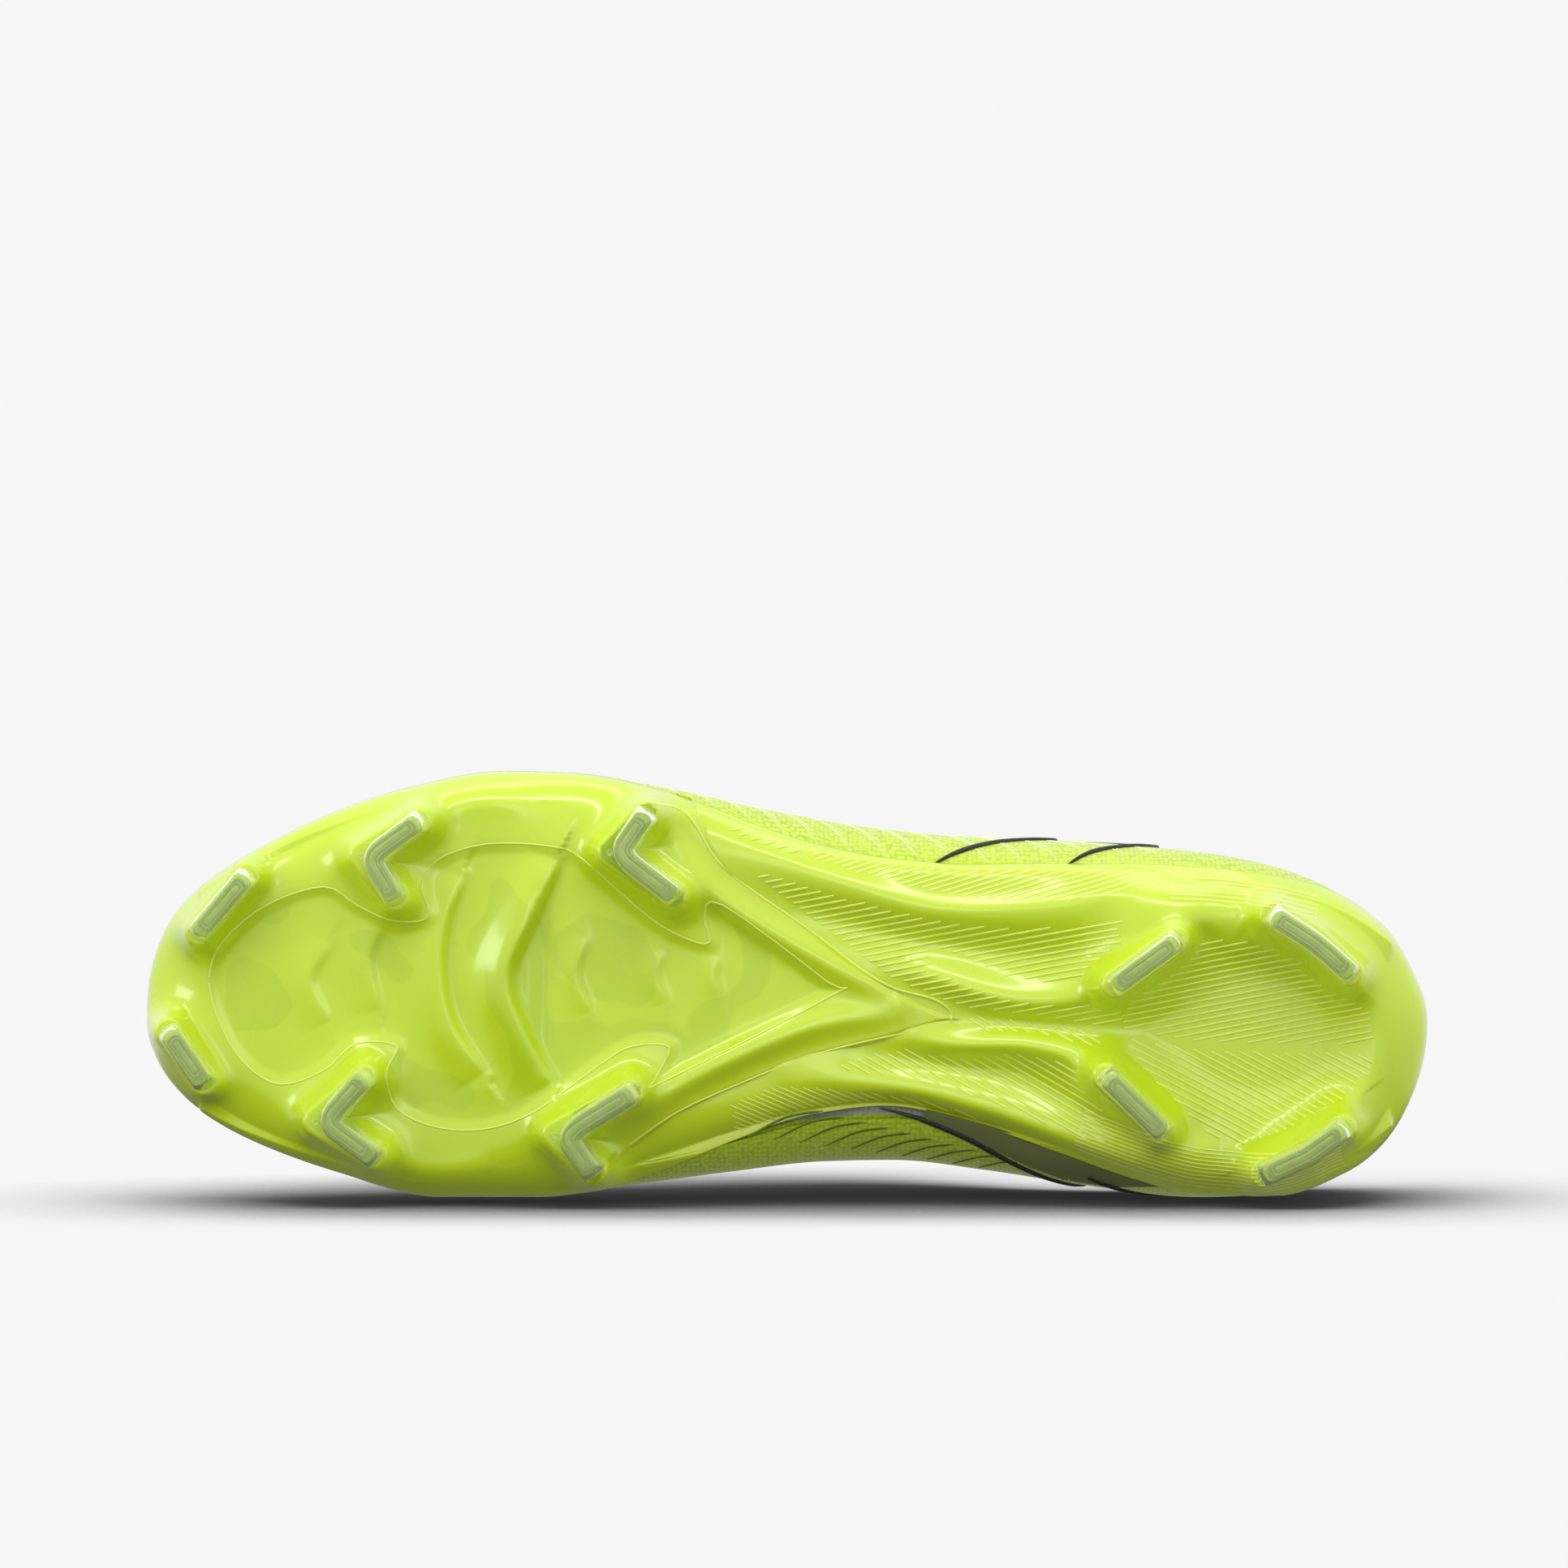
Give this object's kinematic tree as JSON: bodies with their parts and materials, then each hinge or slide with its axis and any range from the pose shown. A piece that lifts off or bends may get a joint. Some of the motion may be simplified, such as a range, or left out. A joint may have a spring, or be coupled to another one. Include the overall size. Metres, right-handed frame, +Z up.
{
  "type": "soccer cleat",
  "caption": "Low-cut left soccer cleat for firm ground: knit upper with laces over a moulded sole plate with clear-tipped chevron and blade studs.",
  "frame": {"origin": "middle of the shoe's footprint at ground level, the plane under the stud tips", "axes": "+X towards the toe, +Y towards the outer (lateral) side of the left foot, +Z up"},
  "size_m": [0.2831, 0.0962, 0.104],
  "materials": {
    "plate": "glossy translucent moulded TPU",
    "chassis": "glossy ribbed moulded TPU",
    "stud_clear": "clear glossy TPU",
    "air_film": "translucent air bag film",
    "foam": "soft closed-cell foam",
    "board": "stitched fibre board",
    "sock_textile": "brushed textile",
    "knit": "coated fine knit",
    "stiffener": "thermoformed sheet",
    "lining": "brushed mesh lining",
    "rib_knit": "ribbed elastic knit",
    "eyestay_film": "bonded film",
    "tongue_knit": "padded knit",
    "eyelet": "moulded eyelet ring",
    "lace": "flat woven lace",
    "cord": "bonded black cord",
    "webbing": "woven webbing"
  },
  "bodies": {
    "rearfoot": {"forefoot_plate_flex_zone": "plate", "forefoot_plate_tail": "plate", "heel_chassis": "chassis", "air_unit": "air_film", "heel_pad": "foam", "strobel_board": "board", "sockliner_foam": "foam", "sockliner_cover": "sock_textile", "vamp_flex_zone": "knit", "quarter_lateral": "knit", "quarter_medial": "knit", "heel_counter": "stiffener", "heel_lining": "lining", "collar_padding_lateral": "foam", "collar_padding_medial": "foam", "collar_lining": "lining", "collar_binding": "rib_knit", "eyestay_lateral": "eyestay_film", "eyestay_medial": "eyestay_film", "tongue": "tongue_knit", "eyelets_lateral": "eyelet", "eyelets_medial": "eyelet", "lace": "lace", "support_cords_lateral": "cord", "support_cords_medial": "cord", "pull_tab_anchor": "webbing", "stud_tip_rear_lateral": "stud_clear", "stud_tip_rear_medial": "stud_clear", "stud_tip_heel_front_lateral": "stud_clear", "stud_tip_heel_front_medial": "stud_clear", "stud_tip_heel_rear_lateral": "stud_clear", "stud_tip_heel_rear_medial": "stud_clear"},
    "forefoot": {"forefoot_plate": "plate", "vamp": "knit", "toe_puff": "stiffener", "stud_tip_toe_lateral": "stud_clear", "stud_tip_toe_medial": "stud_clear", "stud_tip_front_lateral": "stud_clear", "stud_tip_front_medial": "stud_clear"},
    "tongue_top": {"tongue_top": "tongue_knit"},
    "pull_tab": {"pull_tab": "webbing"}
  },
  "joints": [
    {"name": "forefoot_flex", "type": "hinge", "parent": "rearfoot", "child": "forefoot", "pos_m": [0.0665, 0, 0.0145], "axis": [0, -1, 0], "range_deg": [0, 25], "stiffness_Nm_per_rad": 3, "deforming": ["forefoot_plate_flex_zone", "vamp_flex_zone", "air_unit", "strobel_board", "sockliner_foam", "sockliner_cover"]},
    {"name": "tongue_flex", "type": "hinge", "parent": "rearfoot", "child": "tongue_top", "pos_m": [-0.025, -0.003, 0.0986], "axis": [0, 1, 0], "range_deg": [0, 35], "stiffness_Nm_per_rad": 0.05},
    {"name": "pull_tab_swing", "type": "hinge", "parent": "rearfoot", "child": "pull_tab", "pos_m": [-0.1386, -0.009, 0.0723], "axis": [0, -1, 0], "range_deg": [0, 70], "stiffness_Nm_per_rad": 0.02}
  ]
}
